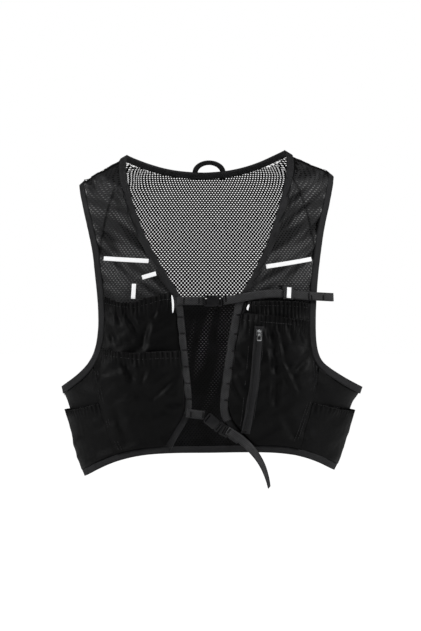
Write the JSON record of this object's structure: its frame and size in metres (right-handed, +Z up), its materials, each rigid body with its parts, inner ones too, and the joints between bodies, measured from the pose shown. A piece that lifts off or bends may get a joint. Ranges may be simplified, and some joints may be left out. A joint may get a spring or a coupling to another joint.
{
  "type": "running hydration vest",
  "caption": "Worn running hydration vest with front flask and stow pockets, side and back pockets, a short zip, gear loops and two buckled chest straps.",
  "frame": {"origin": "midway between the shoulders, on the line where the shoulder straps rest on the wearer", "axes": "+Z up, the wearer looks along -Y, +X towards the wearer's left"},
  "size_m": [0.3903, 0.2238, 0.4341],
  "materials": {
    "mesh_cloth": "open hexagonal polyester mesh, matt",
    "woven_cloth": "fine stretch woven cloth with a faint sheen",
    "binding_tape": "folded elastic binding, finely ribbed",
    "webbing": "flat woven polyester webbing with a herringbone grain",
    "black_plastic": "moulded acetal, satin",
    "reflective": "retroreflective film, pale silver",
    "zip_metal": "bright nickel-plated zinc"
  },
  "bodies": {
    "vest": {"armhole_binding_right": "binding_tape", "armhole_binding_left": "binding_tape", "neck_binding": "binding_tape", "hem_binding_right": "binding_tape", "hem_binding_left": "binding_tape", "hem_binding_back": "binding_tape", "front_binding_right": "binding_tape", "front_binding_left": "binding_tape", "front_panel_right": "mesh_cloth", "front_panel_left": "mesh_cloth", "side_panel_right": "woven_cloth", "side_panel_left": "woven_cloth", "back_panel": "mesh_cloth", "flask_pocket_right": "woven_cloth", "flask_pocket_left": "woven_cloth", "stow_pocket_right": "woven_cloth", "zip_pocket_left": "woven_cloth", "side_pocket_right": "woven_cloth", "side_pocket_left": "woven_cloth", "back_pocket": "woven_cloth", "gear_loops_right": "webbing", "gear_loops_left": "webbing", "upper_strap_right": "webbing", "upper_strap_left": "webbing", "upper_strap_end": "webbing", "upper_buckle_socket": "black_plastic", "upper_buckle_plug": "black_plastic", "lower_buckle_socket": "black_plastic", "lower_buckle_plug": "black_plastic", "lower_strap_right": "webbing", "lower_strap_left": "webbing", "ladder_lock": "black_plastic", "lower_strap_end": "webbing", "strap_keeper": "webbing", "strip_keeper_left": "reflective", "zip_tape": "binding_tape", "zip_slider": "zip_metal", "hang_loop": "binding_tape", "strip_long_right": "reflective", "strip_short_right": "reflective", "strip_bar_right": "reflective", "strip_long_left": "reflective", "strip_slim_right": "reflective", "strip_slim_left": "reflective"},
    "zip_pull": {"zip_pull": "zip_metal"}
  },
  "joints": [
    {"name": "zip_pull_hinge", "type": "hinge", "parent": "vest", "child": "zip_pull", "pos_m": [0.06343, -0.1163, -0.20857], "axis": [-0.9903, -0.1388, 0], "range_deg": [0, 170]}
  ]
}
